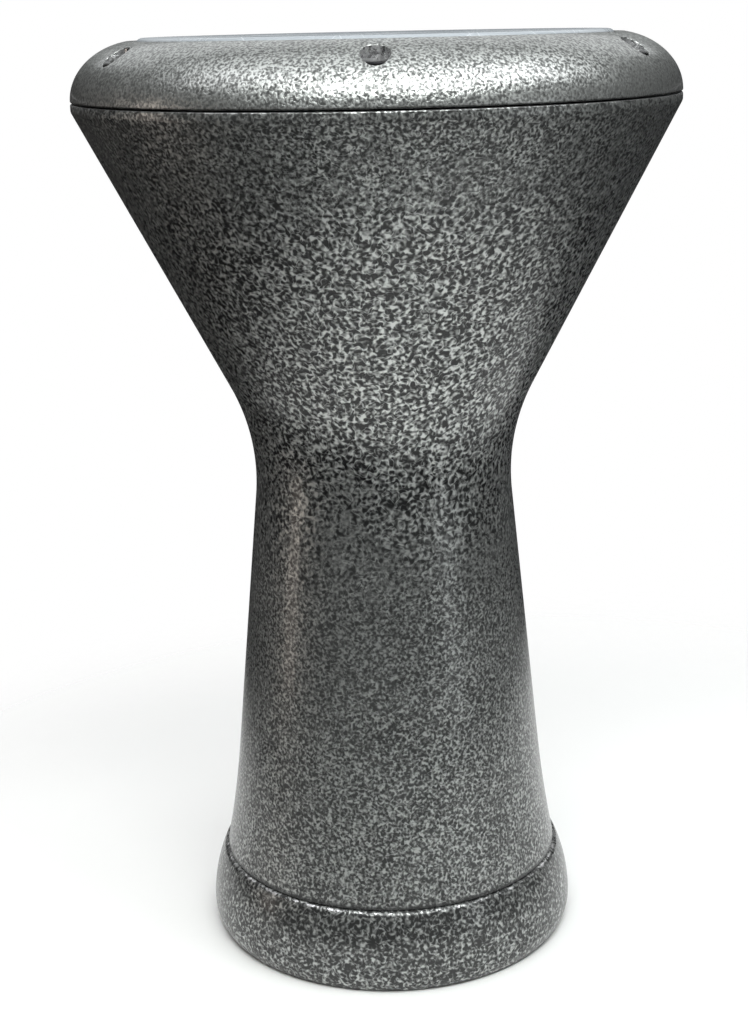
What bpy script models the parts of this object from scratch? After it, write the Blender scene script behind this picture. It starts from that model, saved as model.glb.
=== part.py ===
"""Aluminium darbuka: a cast goblet drum whose head is pulled down by a clamp ring and six bolts.

Metres, +Z up. The drum stands on z = 0 with its axis on Z. Heights named "rise" are measured
from the seam, the top face of the shell's flange, on which the whole tuning rim is set out.
"""

import math

import bmesh
import bpy
from mathutils import Matrix, Vector

# Whole drum
SEAM_HEIGHT = 0.414
RIM_RADIUS = 0.140
FIT = 0.0003

# Shell: a bowl cone and a tube cone, blended at the throat, with a flare at the tube's end
WALL = 0.0045
RIM_LAND = 0.0035
RIM_EDGE = 0.0008
THROAT_RADIUS = 0.060
THROAT_HEIGHT = 0.2545
THROAT_BLEND = 0.100
TUBE_END_RADIUS = 0.0844
TUBE_FLARE = 0.0027
TUBE_FLARE_HEIGHT = 0.052
FLANGE = 0.006
FLANGE_FILLET = 0.005

# Bearing edge, the rounded wall that the head is stretched over
BEARING_WALL = 0.005
BEARING_RISE = 0.0272
BEARING_FILLET = 0.002

# Foot ring, slid over a spigot on the end of the tube
FOOT_HEIGHT = 0.040
FOOT_BULGE = 0.008
FOOT_BULGE_HEIGHT = 0.0095
FOOT_TUCK = 0.003
FOOT_EDGE = 0.002
FOOT_LEDGE = 0.006
FOOT_LEDGE_REACH = 0.005
FOOT_SHOULDER = 0.0011
FOOT_SHOULDER_EDGE = 0.002
SPIGOT_WALL = 0.003

# Head: polyester film, folded into an aluminium channel hoop and locked with resin
FILM = 0.0005
HOOP_DROP = 0.010
HOOP_HEIGHT = 0.0095
HOOP_WIDTH = 0.0078
HOOP_WALL = 0.001
HOOP_CLEARANCE = 0.0007
HOOP_INNER_STEP = 0.0025
COLLAR_FLARE = 0.005
COLLAR_FLARE_RISE = 0.0035
RESIN_DROP = 0.0006

# Clamp ring: a hollow quarter-round casting with a lip that bears on the hoop
SEAM_GAP = 0.0007
RING_WALL = 0.0045
RING_ROLL = 0.034
RING_EDGE = 0.0006
HEAD_PROUD = 0.0006
LIP_CLEARANCE = 0.0027
LIP_EDGE = 0.0012
SEAT_MARGIN = 0.0013
COLUMN_WALL = 0.0017
COLUMN_CLEARANCE = 0.0005
COLUMN_SPACING = 0.0023

# Tuning bolts: socket cap screws in counterbores, on plain washers
BOLT_COUNT = 6
BOLT_SINK = 0.0116
BOLT_RADIUS = 0.003
BOLT_LENGTH = 0.025
BOLT_TIP = 0.0006
BOLT_HEAD_RADIUS = 0.005
BOLT_HEAD_HEIGHT = 0.006
BOLT_HEAD_EDGE = 0.0006
SOCKET_ACROSS_FLATS = 0.005
SOCKET_DEPTH = 0.003
WASHER_RADIUS = 0.0055
WASHER_THICKNESS = 0.0016
WASHER_CLEARANCE = 0.0005
BOSS_RADIUS = 0.0065
BOSS_END = 0.0025
TIP_CLEARANCE = 0.0012

# Facets round a full turn, and along each arc of an outline
ROUND_STEPS = 60
BOLT_STEPS = 12
COUNTERBORE_STEPS = 16
EDGE_STEPS = 1
FILLET_STEPS = 2
CROWN_STEPS = 3
THROAT_STEPS = 6
INNER_THROAT_STEPS = 3
FLARE_STEPS = 3
BULGE_STEPS = 3
TUCK_STEPS = 2
ROLL_STEPS = 8
INNER_ROLL_STEPS = 4
ROLL_CORE_STEPS = 10
MERGE = FIT / 100

# Heights and radii that follow from the sizes above
HEAD_RADIUS = RIM_RADIUS - RING_ROLL
HEAD_TOP = BEARING_RISE + FIT + FILM
HOOP_TOP = HEAD_TOP - HOOP_DROP
HOOP_BOTTOM = HOOP_TOP - HOOP_HEIGHT
LIP_SEAT = HOOP_TOP + FIT
RING_TOP = HEAD_TOP - HEAD_PROUD
BEARING_OUTER = HEAD_RADIUS + BEARING_WALL / 2
COLLAR_OUTER = BEARING_OUTER + FIT + FILM
HOOP_INNER = BEARING_OUTER + HOOP_CLEARANCE
HOOP_OUTER = HOOP_INNER + HOOP_WIDTH
RING_BORE = COLLAR_OUTER + LIP_CLEARANCE
BOLT_HOLE = BOLT_RADIUS + FIT
COUNTERBORE = WASHER_RADIUS + WASHER_CLEARANCE
COLUMN_RADIUS = COUNTERBORE + COLUMN_WALL
BOLT_CIRCLE = HOOP_OUTER + COLUMN_SPACING + COLUMN_RADIUS
BOWL_SLOPE = (RIM_RADIUS - THROAT_RADIUS) / (SEAM_HEIGHT - RIM_LAND - THROAT_HEIGHT)
TUBE_CONE_END = TUBE_END_RADIUS - TUBE_FLARE
TUBE_SLOPE = (THROAT_RADIUS - TUBE_CONE_END) / (THROAT_HEIGHT - FOOT_HEIGHT)
FOOT_RADIUS = TUBE_END_RADIUS + FOOT_BULGE

# One bolt faces the front, -Y
BOLT_ANGLES = [math.tau * n / BOLT_COUNT - math.pi / 2 for n in range(BOLT_COUNT)]


def bowl_radius(height, inset=0.0):
    """Radius of the bowl's cone, or of a cone set in from it by a wall."""
    lean = math.hypot(1, BOWL_SLOPE)
    return THROAT_RADIUS + BOWL_SLOPE * (height - THROAT_HEIGHT) - inset * lean


def tube_radius(height, inset=0.0):
    """Radius of the tube's cone, or of a cone set in from it by a wall."""
    lean = math.hypot(1, TUBE_SLOPE)
    return THROAT_RADIUS + TUBE_SLOPE * (height - THROAT_HEIGHT) - inset * lean


def throat_height(inset):
    """Height at which the two cones, both set in by a wall, would cross."""
    lean = math.hypot(1, BOWL_SLOPE) - math.hypot(1, TUBE_SLOPE)
    return THROAT_HEIGHT + inset * lean / (BOWL_SLOPE - TUBE_SLOPE)


def ring_surface(radius, inset=0.0):
    """Rise of the clamp ring's quarter-round roll at a radius, or of one set in by a wall."""
    share = (radius - HEAD_RADIUS) / (RING_ROLL - inset)
    return SEAM_GAP + (RING_TOP - SEAM_GAP - inset) * math.sqrt(max(0.0, 1 - share**2))


def ring_roll(first, last, inset, steps):
    """Points down the roll between two radii, closer together where it steepens."""
    width = RING_ROLL - inset
    begin = math.acos(min(1.0, max(0.0, (first - HEAD_RADIUS) / width)))
    end = math.acos(min(1.0, max(0.0, (last - HEAD_RADIUS) / width)))
    turns = [begin + (end - begin) * n / steps for n in range(steps + 1)]
    radii = [HEAD_RADIUS + width * math.cos(turn) for turn in turns]
    return [(radius, ring_surface(radius, inset)) for radius in radii]


def rounded(corners):
    """Outline through corners (radius, height), or (radius, height, fillet, steps) for an arc."""
    points = []
    for index, (radius, height, *fillet) in enumerate(corners):
        corner = Vector((radius, height))
        if not fillet:
            points.append(corner)
            continue
        size, steps = fillet
        to_last = (Vector(corners[index - 1][:2]) - corner).normalized()
        to_next = (Vector(corners[(index + 1) % len(corners)][:2]) - corner).normalized()
        half = to_last.angle(to_next) / 2
        centre = corner + (to_last + to_next).normalized() * size / math.sin(half)
        begin = corner + to_last * size / math.tan(half) - centre
        end = corner + to_next * size / math.tan(half) - centre
        points += [centre + begin.slerp(end, n / steps) * size for n in range(steps + 1)]
    apart = [p for p, last in zip(points, points[-1:] + points) if (p - last).length > MERGE]
    return apart


def place(name, mesh, collection):
    piece = bpy.data.objects.new(name, mesh)
    collection.objects.link(piece)
    return piece


def turned(name, corners, collection, steps=ROUND_STEPS):
    """A solid turned about Z: its outline runs down the outside and back up the inside."""
    outline = rounded(corners)
    edges = [(n, n + 1) for n in range(len(outline) - 1)]
    on_axis = outline[0].x == 0
    if not on_axis:
        edges.append((len(outline) - 1, 0))
    mesh = bpy.data.meshes.new(name)
    mesh.from_pydata([(point.x, 0, point.y) for point in outline], edges, [])
    piece = place(name, mesh, collection)
    turn = piece.modifiers.new("Turn", "SCREW")
    turn.steps = steps
    turn.render_steps = steps
    turn.use_merge_vertices = True
    turn.merge_threshold = MERGE
    turn.use_smooth_shade = True
    return piece


def pillars(name, radius, low, high, collection, steps=BOLT_STEPS):
    """Upright cylinders on the bolt circle, as one helper mesh, each with a flat facing the axis."""
    form = bmesh.new()
    for angle in BOLT_ANGLES:
        outwards = Matrix.Rotation(angle, 4, "Z") @ Matrix.Translation((BOLT_CIRCLE, 0, 0))
        upright = Matrix.Translation((0, 0, (low + high) / 2))
        half_facet = Matrix.Rotation(math.pi / steps, 4, "Z")
        bmesh.ops.create_cone(
            form,
            cap_ends=True,
            segments=steps,
            radius1=radius,
            radius2=radius,
            depth=high - low,
            matrix=upright @ outwards @ half_facet,
        )
    mesh = bpy.data.meshes.new(name)
    form.to_mesh(mesh)
    form.free()
    return place(name, mesh, collection)


def helper(piece):
    piece.hide_render = True
    piece.display_type = "WIRE"
    return piece


def combine(piece, operation, other):
    cut = piece.modifiers.new(other.name, "BOOLEAN")
    cut.operation = operation
    cut.solver = "EXACT"
    cut.object = other


def finish(piece, material):
    """Even shading over flats and rounds, and the piece's material."""
    shade = piece.modifiers.new("Shading", "WEIGHTED_NORMAL")
    shade.keep_sharp = True
    piece.data.materials.clear()
    piece.data.materials.append(material)


def surface(name, colour, roughness, metallic):
    material = bpy.data.materials.new(name)
    material.use_nodes = True
    shader = material.node_tree.nodes["Principled BSDF"]
    shader.inputs["Base Color"].default_value = (*colour, 1)
    shader.inputs["Roughness"].default_value = roughness
    shader.inputs["Metallic"].default_value = metallic
    material.diffuse_color = (*colour, 1)
    return material


for old in list(bpy.data.objects):
    bpy.data.objects.remove(old, do_unlink=True)

drum = bpy.data.collections.new("aluminium_darbuka")
cutters = bpy.data.collections.new("cutters")
bpy.context.scene.collection.children.link(drum)
bpy.context.scene.collection.children.link(cutters)

vein_paint = surface("vein_paint", (0.16, 0.165, 0.16), 0.28, 0.6)
bolt_steel = surface("bolt_steel", (0.06, 0.06, 0.065), 0.35, 1.0)
washer_steel = surface("washer_steel", (0.45, 0.45, 0.45), 0.4, 1.0)
milky_film = surface("milky_film", (0.86, 0.87, 0.86), 0.35, 0.0)
hoop_aluminium = surface("hoop_aluminium", (0.72, 0.73, 0.74), 0.4, 1.0)
potting_resin = surface("potting_resin", (0.35, 0.30, 0.20), 0.5, 0.0)

# Height of the bolts' seats in the ring, and how deep they reach into the shell
bolt_seat = ring_surface(BOLT_CIRCLE) - BOLT_SINK
bolt_rest = bolt_seat + FIT + WASHER_THICKNESS + FIT
hole_depth = BOLT_LENGTH - bolt_rest + TIP_CLEARANCE
boss_depth = hole_depth + BOSS_END

# Shell: one casting of flange, bearing edge, bowl, throat, flared tube and spigot
flange_underside = SEAM_HEIGHT - FLANGE
bearing_inner = HEAD_RADIUS - BEARING_WALL / 2
crown_top = SEAM_HEIGHT + BEARING_RISE
crown = (BEARING_WALL / 2, CROWN_STEPS)
inner_throat = throat_height(WALL)
flare_shares = [n / FLARE_STEPS for n in range(FLARE_STEPS + 1)]
flare_heights = [FOOT_HEIGHT + TUBE_FLARE_HEIGHT * (1 - s) for s in flare_shares]
flare = [
    (tube_radius(height) + TUBE_FLARE * s**2, height)
    for s, height in zip(flare_shares, flare_heights)
]
spigot_inner = tube_radius(FOOT_HEIGHT, WALL)
spigot_radius = spigot_inner + SPIGOT_WALL
spigot_bottom = FOOT_LEDGE + FIT
shell = turned(
    "shell",
    [
        (BEARING_OUTER, crown_top, *crown),
        (BEARING_OUTER, SEAM_HEIGHT, BEARING_FILLET, FILLET_STEPS),
        (RIM_RADIUS, SEAM_HEIGHT, RIM_EDGE, EDGE_STEPS),
        (RIM_RADIUS, SEAM_HEIGHT - RIM_LAND, RIM_LAND, FILLET_STEPS),
        (THROAT_RADIUS, THROAT_HEIGHT, THROAT_BLEND, THROAT_STEPS),
        *flare,
        (spigot_radius, FOOT_HEIGHT),
        (spigot_radius, spigot_bottom),
        (spigot_inner, spigot_bottom),
        (spigot_inner, FOOT_HEIGHT),
        (tube_radius(inner_throat, WALL), inner_throat, THROAT_BLEND + WALL, INNER_THROAT_STEPS),
        (bowl_radius(flange_underside, WALL), flange_underside, FLANGE_FILLET, FILLET_STEPS),
        (bearing_inner, flange_underside),
        (bearing_inner, crown_top, *crown),
    ],
    drum,
)
boss_bottom = SEAM_HEIGHT - boss_depth
bosses = helper(
    pillars("boss_posts", BOSS_RADIUS, boss_bottom, SEAM_HEIGHT - FLANGE / 2, cutters)
)
bowl_core = helper(
    turned(
        "bowl_core",
        [
            (0, SEAM_HEIGHT),
            (bowl_radius(SEAM_HEIGHT, WALL / 2), SEAM_HEIGHT),
            (bowl_radius(boss_bottom - BOSS_END, WALL / 2), boss_bottom - BOSS_END),
            (0, boss_bottom - BOSS_END),
        ],
        cutters,
    )
)
tapped_holes = helper(
    pillars(
        "tapped_holes",
        BOLT_HOLE,
        SEAM_HEIGHT - hole_depth,
        SEAM_HEIGHT + BEARING_RISE,
        cutters,
    )
)
combine(bosses, "INTERSECT", bowl_core)
combine(shell, "UNION", bosses)
combine(shell, "DIFFERENCE", tapped_holes)
finish(shell, vein_paint)

# Foot ring: a bulged collar, its bore over the spigot and its ledge under it
foot_bore = spigot_radius + FIT
foot_top = FOOT_HEIGHT - FIT
foot_crest = TUBE_END_RADIUS + FOOT_SHOULDER
bulge_width = FOOT_RADIUS - foot_crest
bulge_rise = foot_top - FOOT_BULGE_HEIGHT
bulge_shares = [1 - n / BULGE_STEPS for n in range(1, BULGE_STEPS + 1)]
bulge = [
    (FOOT_RADIUS - bulge_width * s**2, FOOT_BULGE_HEIGHT + bulge_rise * s)
    for s in bulge_shares
]
tuck_shares = [n / TUCK_STEPS for n in range(1, TUCK_STEPS)]
tuck = [(FOOT_RADIUS - FOOT_TUCK * s**2, FOOT_BULGE_HEIGHT * (1 - s)) for s in tuck_shares]
foot_ring = turned(
    "foot_ring",
    [
        (foot_crest, foot_top, FOOT_SHOULDER_EDGE, FILLET_STEPS),
        *bulge,
        *tuck,
        (FOOT_RADIUS - FOOT_TUCK, 0, FOOT_EDGE, FILLET_STEPS),
        (foot_bore - FOOT_LEDGE_REACH, 0),
        (foot_bore - FOOT_LEDGE_REACH, FOOT_LEDGE),
        (foot_bore, FOOT_LEDGE),
        (foot_bore, foot_top),
    ],
    drum,
)
finish(foot_ring, vein_paint)

# Head film: flat over the bearing edge, down its outside and flared into the hoop's channel
channel_inner = HOOP_INNER + HOOP_WALL
channel_floor = HOOP_BOTTOM + HOOP_WALL
collar_inner = BEARING_OUTER + FIT
tail_inner = channel_inner + FIT
flare_top = HOOP_TOP + COLLAR_FLARE_RISE
flare_bottom = flare_top - COLLAR_FLARE
tail_end = channel_floor + FIT
crown_bend = BEARING_WALL / 2 + FIT
head_film = turned(
    "head_film",
    [
        (0, HEAD_TOP),
        (COLLAR_OUTER, HEAD_TOP, crown_bend + FILM, CROWN_STEPS),
        (COLLAR_OUTER, flare_top),
        (tail_inner + FILM, flare_bottom),
        (tail_inner + FILM, tail_end),
        (tail_inner, tail_end),
        (tail_inner, flare_bottom),
        (collar_inner, flare_top),
        (collar_inner, HEAD_TOP - FILM, crown_bend, CROWN_STEPS),
        (0, HEAD_TOP - FILM),
    ],
    drum,
)
finish(head_film, milky_film)

# Hoop: an aluminium channel, open at the top, its inner side lower to let the film in
head_hoop = turned(
    "head_hoop",
    [
        (HOOP_OUTER, HOOP_TOP),
        (HOOP_OUTER, HOOP_BOTTOM),
        (HOOP_INNER, HOOP_BOTTOM),
        (HOOP_INNER, HOOP_TOP - HOOP_INNER_STEP),
        (channel_inner, HOOP_TOP - HOOP_INNER_STEP),
        (channel_inner, channel_floor),
        (HOOP_OUTER - HOOP_WALL, channel_floor),
        (HOOP_OUTER - HOOP_WALL, HOOP_TOP),
    ],
    drum,
)
finish(head_hoop, hoop_aluminium)

# Resin: poured into the channel outside the film's tail
resin_inner = tail_inner + FILM + FIT
resin_outer = HOOP_OUTER - HOOP_WALL - FIT
hoop_resin = turned(
    "hoop_resin",
    [
        (resin_outer, HOOP_TOP - RESIN_DROP),
        (resin_outer, tail_end),
        (resin_inner, tail_end),
        (resin_inner, flare_bottom),
    ],
    drum,
)
finish(hoop_resin, potting_resin)

# Clamp ring: quarter-round roll, hollow below, with a lip, hoop seat and six bolt columns
seat_outer = HOOP_OUTER + SEAT_MARGIN
clamp_ring = turned(
    "clamp_ring",
    [
        (RING_BORE, ring_surface(RING_BORE), LIP_EDGE, EDGE_STEPS),
        *ring_roll(RING_BORE + 2 * LIP_EDGE, RIM_RADIUS, 0.0, ROLL_STEPS)[:-1],
        (RIM_RADIUS, SEAM_GAP, RING_EDGE, EDGE_STEPS),
        *ring_roll(seat_outer, RIM_RADIUS - RING_WALL, RING_WALL, INNER_ROLL_STEPS)[::-1],
        (seat_outer, LIP_SEAT),
        (RING_BORE, LIP_SEAT),
    ],
    drum,
)
columns = helper(
    pillars(
        "bolt_columns", COLUMN_RADIUS, SEAM_GAP + COLUMN_CLEARANCE, HEAD_TOP, cutters
    )
)
roll_core = helper(
    turned(
        "roll_core",
        [
            (0, RING_TOP - RING_WALL / 2),
            *ring_roll(HEAD_RADIUS, RIM_RADIUS - RING_WALL / 2, RING_WALL / 2, ROLL_CORE_STEPS),
            (RIM_RADIUS - RING_WALL / 2, 0),
            (0, 0),
        ],
        cutters,
    )
)
counterbores = helper(
    pillars(
        "counterbores",
        COUNTERBORE,
        bolt_seat,
        HEAD_TOP + BOLT_HEAD_HEIGHT,
        cutters,
        COUNTERBORE_STEPS,
    )
)
bolt_holes = helper(pillars("bolt_holes", BOLT_HOLE, -FLANGE, HEAD_TOP, cutters))
combine(columns, "INTERSECT", roll_core)
combine(clamp_ring, "UNION", columns)
combine(clamp_ring, "DIFFERENCE", counterbores)
combine(clamp_ring, "DIFFERENCE", bolt_holes)
finish(clamp_ring, vein_paint)

for piece in (head_film, head_hoop, hoop_resin, clamp_ring):
    piece.location.z = SEAM_HEIGHT
for piece in (columns, roll_core, counterbores, bolt_holes):
    piece.parent = clamp_ring
for piece in (foot_ring, head_film, head_hoop, hoop_resin):
    piece.parent = shell

# Bolts and washers, each with its origin on its own axis, carried by the ring
socket_radius = SOCKET_ACROSS_FLATS / math.sqrt(3)
half_facet = Matrix.Rotation(math.pi / BOLT_STEPS, 4, "Z")
for number, angle in enumerate(BOLT_ANGLES, 1):
    spot = Vector((BOLT_CIRCLE * math.cos(angle), BOLT_CIRCLE * math.sin(angle), 0))
    bolt = turned(
        f"tuning_bolt_{number}",
        [
            (0, BOLT_HEAD_HEIGHT),
            (BOLT_HEAD_RADIUS - BOLT_HEAD_EDGE, BOLT_HEAD_HEIGHT),
            (BOLT_HEAD_RADIUS, BOLT_HEAD_HEIGHT - BOLT_HEAD_EDGE),
            (BOLT_HEAD_RADIUS, 0),
            (BOLT_RADIUS, 0),
            (BOLT_RADIUS, BOLT_TIP - BOLT_LENGTH),
            (BOLT_RADIUS - BOLT_TIP, -BOLT_LENGTH),
            (0, -BOLT_LENGTH),
        ],
        drum,
        BOLT_STEPS,
    )
    form = bmesh.new()
    bmesh.ops.create_cone(
        form,
        cap_ends=True,
        segments=6,
        radius1=socket_radius,
        radius2=socket_radius,
        depth=2 * SOCKET_DEPTH,
        matrix=Matrix.Translation((0, 0, BOLT_HEAD_HEIGHT)) @ half_facet,
    )
    mesh = bpy.data.meshes.new(f"hex_socket_{number}")
    form.to_mesh(mesh)
    form.free()
    socket = helper(place(mesh.name, mesh, cutters))
    socket.parent = bolt
    combine(bolt, "DIFFERENCE", socket)
    finish(bolt, bolt_steel)
    bolt.parent = clamp_ring
    bolt.location = spot + Vector((0, 0, bolt_rest))
    washer = turned(
        f"bolt_washer_{number}",
        [
            (WASHER_RADIUS, WASHER_THICKNESS),
            (WASHER_RADIUS, 0),
            (BOLT_HOLE, 0),
            (BOLT_HOLE, WASHER_THICKNESS),
        ],
        drum,
        BOLT_STEPS,
    )
    finish(washer, washer_steel)
    washer.parent = clamp_ring
    washer.location = spot + Vector((0, 0, bolt_seat + FIT))
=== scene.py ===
"""Looks of an aluminium darbuka: a goblet drum cast in aluminium and finished in silver-vein paint.

Every piece is modelled in place, in metres, round the drum's axis on Z, as the drum is put together.
"""

import math

import bpy
from mathutils import Matrix, Vector


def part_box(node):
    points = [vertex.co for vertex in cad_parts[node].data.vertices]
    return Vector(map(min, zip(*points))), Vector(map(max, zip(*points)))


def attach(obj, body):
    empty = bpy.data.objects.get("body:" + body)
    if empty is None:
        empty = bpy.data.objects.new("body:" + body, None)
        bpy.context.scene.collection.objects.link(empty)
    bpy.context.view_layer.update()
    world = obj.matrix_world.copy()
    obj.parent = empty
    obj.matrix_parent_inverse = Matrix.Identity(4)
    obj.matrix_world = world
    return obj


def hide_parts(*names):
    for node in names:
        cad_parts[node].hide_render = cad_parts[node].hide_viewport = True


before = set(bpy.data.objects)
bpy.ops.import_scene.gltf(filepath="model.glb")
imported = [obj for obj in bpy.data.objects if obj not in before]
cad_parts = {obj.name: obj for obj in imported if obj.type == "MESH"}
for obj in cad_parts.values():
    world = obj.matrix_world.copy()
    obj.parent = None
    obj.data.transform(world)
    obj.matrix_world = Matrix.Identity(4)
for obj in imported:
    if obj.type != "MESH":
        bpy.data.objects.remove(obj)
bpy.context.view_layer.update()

# Shell: one aluminium casting of bowl, throat and tube, about 4.5 mm thick.
# Its outside is sprayed in silver-vein paint and left glossy; the inside stays as cast.
# The flange and the bearing edge for the head are turned bright, and six tapped bosses hang below.
shell_low, shell_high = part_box("shell")
seam = 0.414
rim_radius = shell_high.x
rim_land = 0.0035
rim_edge = 0.0008
rim_blend = 0.004
wall = 0.0045
throat_radius = 0.060
throat_height = 0.2545
throat_round = 0.100
tube_end_radius = 0.0844
tube_end_height = 0.040
tube_flare = 0.0027
flare_height = 0.052
flare_steps = 16
tube_end_edge = 0.0005
spigot_wall = 0.003
inner_edge = 0.001
flange = 0.006
flange_bottom = seam - flange
flange_fillet = 0.002
flange_root = 0.005
bearing_outer = 0.1085
bearing_inner = 0.1035
bearing_round = 0.0025
boss_radius = 0.0065
boss_bottom = seam - 0.0164
boss_round = 0.0025
boss_overlap = 0.003
hole_radius = 0.0033
hole_bottom = seam - 0.0139
hole_chamfer = 0.0007
hole_steps = 40
drill_point = 0.0015
weld = 0.000004
bolt_nodes = sorted(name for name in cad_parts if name.startswith("tuning_bolt"))
bolt_axes = [sum(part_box(name), Vector()) / 2 for name in bolt_nodes]


def rounded_outline(corners):
    """Points through corners (radius, height), with an arc where a corner adds (arc radius, segments)."""
    points = []
    for index, (radius, height, *arc) in enumerate(corners):
        corner = Vector((radius, 0, height))
        if not arc:
            points.append(corner)
            continue
        size, segments = arc
        last = corners[index - 1]
        after = corners[(index + 1) % len(corners)]
        to_last = (Vector((last[0], 0, last[1])) - corner).normalized()
        to_next = (Vector((after[0], 0, after[1])) - corner).normalized()
        half = to_last.angle(to_next) / 2
        centre = corner + (to_last + to_next).normalized() * size / math.sin(half)
        begin = corner + to_last * size / math.tan(half) - centre
        end = corner + to_next * size / math.tan(half) - centre
        points += [centre + begin.slerp(end, n / segments) * size for n in range(segments + 1)]
    return points


def turn_piece(name, corners, steps=180):
    """Draws an outline from one point, corner by corner, and spins it about Z into a closed solid."""
    points = rounded_outline(corners)
    if points[0].x > 0:
        points.append(points[0])
    bpy.ops.object.select_all(action="DESELECT")
    bpy.ops.mesh.primitive_plane_add(size=wall)
    piece = bpy.context.object
    piece.name = name
    piece.data.name = name
    bpy.ops.object.mode_set(mode="EDIT")
    bpy.ops.mesh.select_mode(type="VERT")
    bpy.ops.mesh.merge(type="CENTER")
    bpy.ops.transform.translate(value=points[0])
    for last, point in zip(points, points[1:]):
        bpy.ops.mesh.extrude_vertices_move(TRANSFORM_OT_translate={"value": point - last})
    bpy.ops.mesh.select_all(action="SELECT")
    bpy.ops.mesh.spin(steps=steps, angle=math.tau, center=(0, 0, 0), axis=(0, 0, 1))
    bpy.ops.mesh.select_all(action="SELECT")
    bpy.ops.mesh.remove_doubles(threshold=weld)
    bpy.ops.mesh.normals_make_consistent(inside=False)
    bpy.ops.object.mode_set(mode="OBJECT")
    return piece


def choose(piece):
    """Makes a piece the only one selected, and the active one."""
    bpy.ops.object.select_all(action="DESELECT")
    piece.select_set(True)
    bpy.context.view_layer.objects.active = piece


def copy_to_bolt(pattern, name, axis, turn=0.0):
    """Copies a mesh from the drum's axis to a bolt's axis, with its own mesh and its place applied."""
    copy = pattern.copy()
    copy.data = pattern.data.copy()
    copy.name = name
    copy.data.name = name
    copy.location = (axis.x, axis.y, 0)
    copy.rotation_euler.z = math.atan2(axis.y, axis.x) + turn
    bpy.context.collection.objects.link(copy)
    choose(copy)
    bpy.ops.object.transform_apply()
    return copy


def set_of_six(pattern):
    """One mesh of copies of a pattern, one on each bolt's axis; the pattern is used up."""
    copies = [copy_to_bolt(pattern, pattern.name, axis) for axis in bolt_axes]
    bpy.data.objects.remove(pattern)
    for copy in copies:
        copy.select_set(True)
    bpy.ops.object.join()
    return bpy.context.object


def combine(piece, operation, tool):
    """Joins a piece with another mesh, or cuts it by one, and uses that mesh up."""
    choose(piece)
    step = piece.modifiers.new(operation, "BOOLEAN")
    step.operation = operation
    step.solver = "EXACT"
    step.object = tool
    bpy.ops.object.modifier_apply(modifier=operation)
    bpy.data.objects.remove(tool)


def smooth(piece, degrees=40):
    """Shades a piece smooth, apart from edges that are sharper than an angle."""
    choose(piece)
    bpy.ops.object.shade_smooth_by_angle(angle=math.radians(degrees))


def finish_faces(piece, materials, finish_of):
    """Gives a piece its materials, and each face the one that a rule picks by its centre and normal."""
    piece.data.materials.clear()
    for material in materials.values():
        piece.data.materials.append(material)
    finishes = list(materials)
    for face in piece.data.polygons:
        face.material_index = finishes.index(finish_of(face.center, face.normal))


def bolt_distance(point):
    """How far a point is from the nearest bolt's axis, seen from above."""
    return min(math.hypot(point.x - axis.x, point.y - axis.y) for axis in bolt_axes)


bowl_slope = (rim_radius - throat_radius) / (seam - rim_land - throat_height)
tube_slope = (throat_radius - tube_end_radius + tube_flare) / (throat_height - tube_end_height)
bowl_lean = math.hypot(1, bowl_slope)
tube_lean = math.hypot(1, tube_slope)


def bowl_radius(height, inset=0.0):
    """Radius of the bowl's cone at a height, or of a cone set in from it."""
    return throat_radius + bowl_slope * (height - throat_height) - inset * bowl_lean


def tube_radius(height, inset=0.0):
    """Radius of the tube's cone at a height, or of a cone set in from it."""
    return throat_radius + tube_slope * (height - throat_height) - inset * tube_lean


inner_throat = throat_height + wall * (bowl_lean - tube_lean) / (bowl_slope - tube_slope)
spigot_inner = tube_radius(tube_end_height, wall)
spigot_radius = spigot_inner + spigot_wall
below_rim = seam - rim_land - rim_blend
flare_shares = [n / flare_steps for n in range(flare_steps)]
flare_heights = [tube_end_height + flare_height * (1 - share) for share in flare_shares]
shell = turn_piece(
    "shell_casting",
    [
        (bearing_outer, shell_high.z, bearing_round, 8),
        (bearing_outer, seam, flange_fillet, 6),
        (rim_radius, seam, rim_edge, 5),
        (rim_radius, seam - rim_land, rim_land, 8),
        (bowl_radius(below_rim), below_rim),
        (throat_radius, throat_height, throat_round, 36),
        *((tube_radius(height) + tube_flare * share**2, height)
          for share, height in zip(flare_shares, flare_heights)),
        (tube_end_radius, tube_end_height, tube_end_edge, 4),
        (spigot_radius, tube_end_height),
        (spigot_radius, shell_low.z),
        (spigot_inner, shell_low.z, inner_edge, 4),
        (spigot_inner, tube_end_height),
        (tube_radius(inner_throat, wall), inner_throat, throat_round + wall, 24),
        (bowl_radius(flange_bottom, wall), flange_bottom, flange_root, 8),
        (bearing_inner, flange_bottom, inner_edge, 4),
        (bearing_inner, shell_high.z, bearing_round, 8),
    ],
)
bosses = set_of_six(
    turn_piece(
        "boss",
        [
            (0, flange_bottom + boss_overlap),
            (boss_radius, flange_bottom + boss_overlap),
            (boss_radius, boss_bottom, boss_round, 6),
            (0, boss_bottom),
        ],
        hole_steps,
    )
)
core_bottom = boss_bottom - wall
bowl_core = turn_piece(
    "bowl_core",
    [
        (0, seam),
        (bowl_radius(seam, wall / 2), seam),
        (bowl_radius(core_bottom, wall / 2), core_bottom),
        (0, core_bottom),
    ],
)
tapped_holes = set_of_six(
    turn_piece(
        "tapped_hole",
        [
            (0, seam + wall),
            (hole_radius + hole_chamfer + wall, seam + wall),
            (hole_radius, seam - hole_chamfer),
            (hole_radius, hole_bottom),
            (0, hole_bottom - drill_point),
        ],
        hole_steps,
    )
)
combine(bosses, "INTERSECT", bowl_core)
combine(shell, "UNION", bosses)
combine(shell, "DIFFERENCE", tapped_holes)
smooth(shell)


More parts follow.
